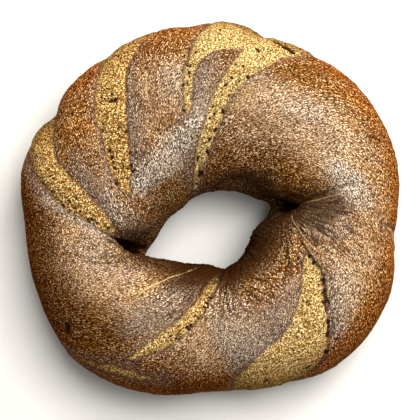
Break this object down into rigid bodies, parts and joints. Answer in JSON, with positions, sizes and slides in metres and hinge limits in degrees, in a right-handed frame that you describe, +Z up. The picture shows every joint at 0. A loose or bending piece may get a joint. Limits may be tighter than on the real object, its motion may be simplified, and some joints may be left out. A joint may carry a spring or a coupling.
{
  "type": "pumpernickel bagel",
  "caption": "Baked ring of twisted dark rye dough with a shiny brown crust, paler crumb open in slanting splits, a small hole through the middle and a flat base to lie on.",
  "frame": {"origin": "middle of the base, on the surface that the bagel lies on", "axes": "+Z up through the hole, +X towards the joint where the two ends of the rope meet"},
  "size_m": [0.112, 0.1112, 0.0385],
  "materials": {
    "crust": "semi-gloss, mottled"
  },
  "bodies": {
    "root": {"bagel": "crust"}
  },
  "joints": []
}
